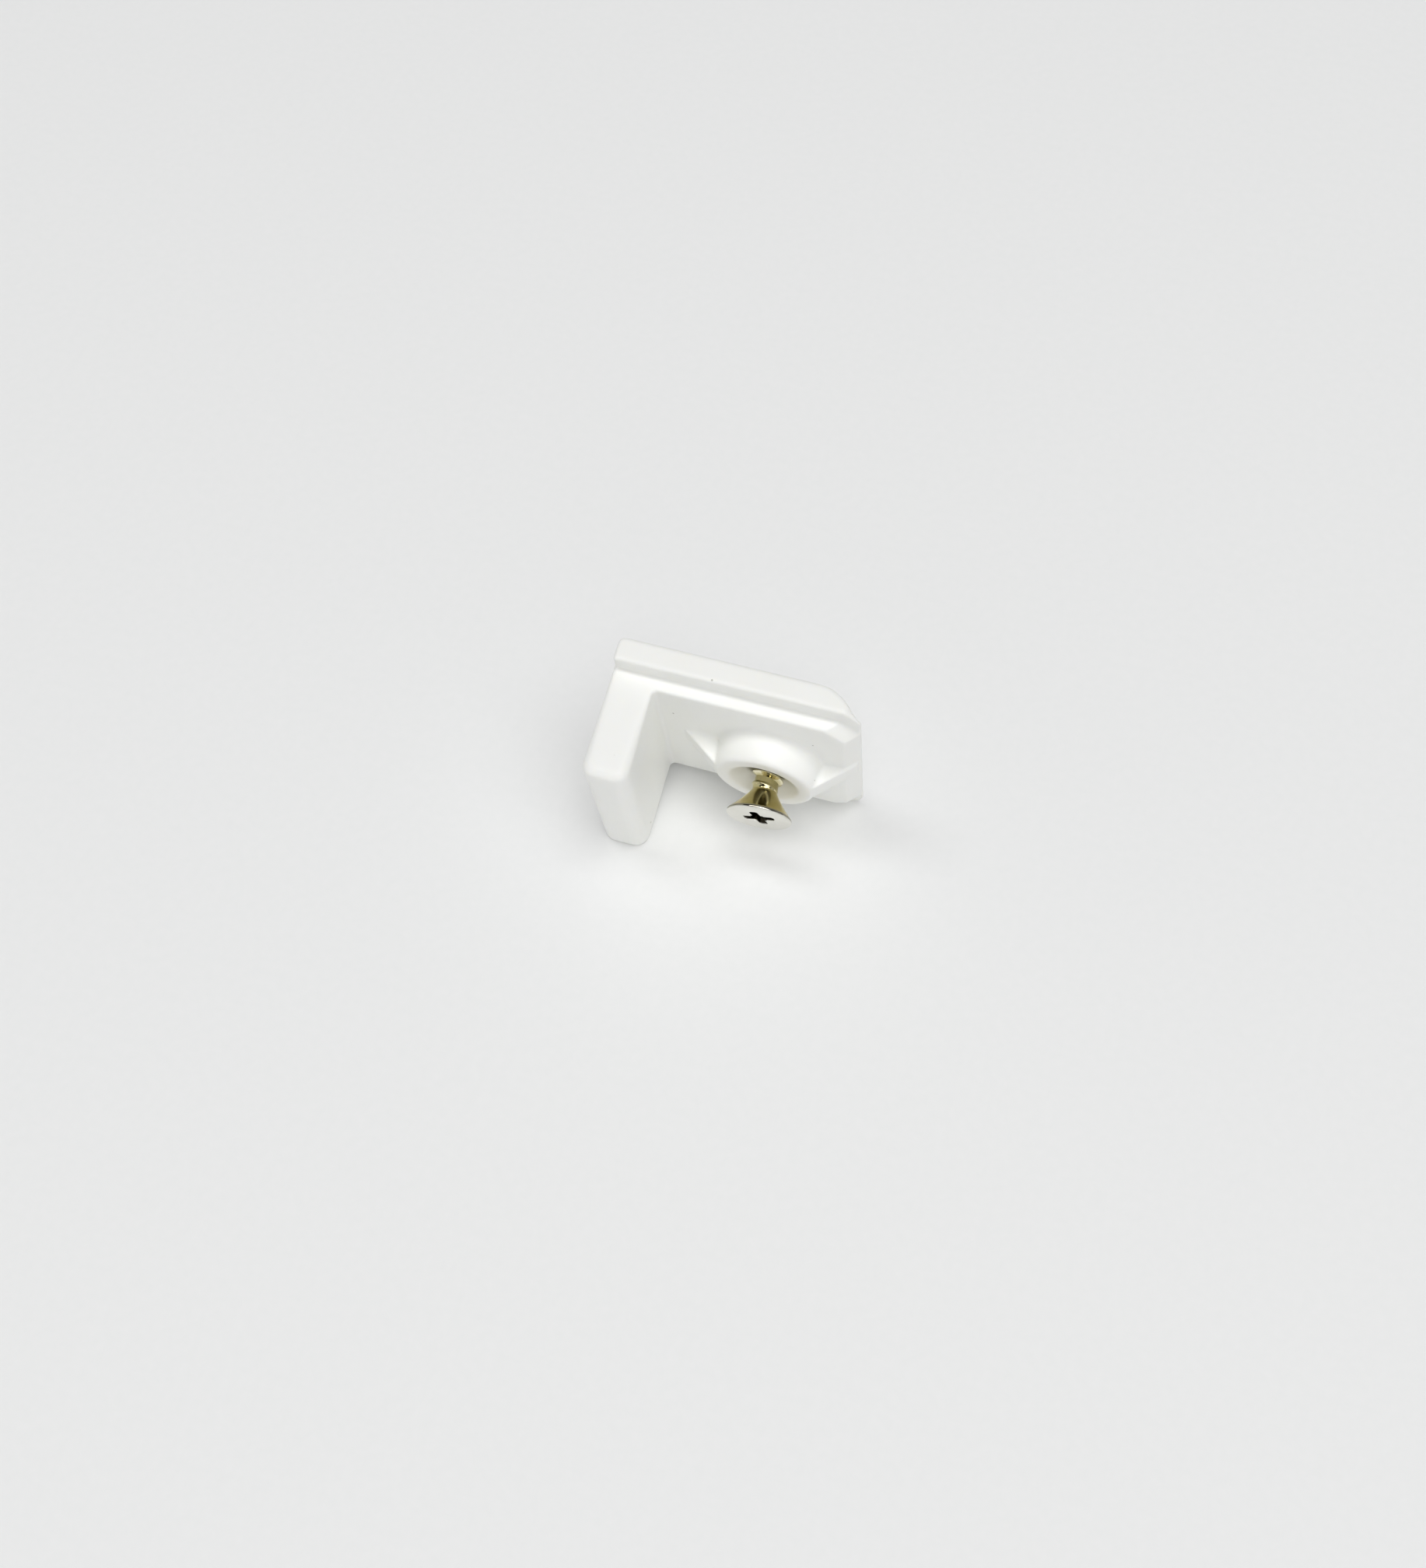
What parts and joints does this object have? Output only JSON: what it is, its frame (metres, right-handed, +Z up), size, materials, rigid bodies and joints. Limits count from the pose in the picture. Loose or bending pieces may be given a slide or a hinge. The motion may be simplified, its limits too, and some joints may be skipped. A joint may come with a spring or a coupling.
{
  "type": "screw-fixed rail end stop",
  "caption": "L-shaped moulded end stop with a rail flange, a lead-in nose, a countersunk boss between gusset ribs, and a cross-recess self-tapping screw standing part-way out.",
  "frame": {"origin": "centre of the bounding box's underside, on the surface that the stop rests on", "axes": "+X along the flange towards its lead-in nose, +Z up, +Y to the back. The stop leans forward by 9.9 degrees about X, resting on the flange's lower edge and the arm's foot, and its screw hangs over by 4.7 degrees in its clearance hole"},
  "size_m": [0.0264, 0.018, 0.0237],
  "materials": {
    "stop_body": "satin white",
    "fixing_screw": "bright plated"
  },
  "bodies": {
    "stop": {"stop_body": "stop_body"},
    "screw": {"fixing_screw": "fixing_screw"}
  },
  "joints": [
    {"name": "screw_travel", "type": "slide", "parent": "stop", "child": "screw", "axis": [-0.0697, 0.9742, 0.2146], "range_m": [-0.006, 0.0027]}
  ]
}
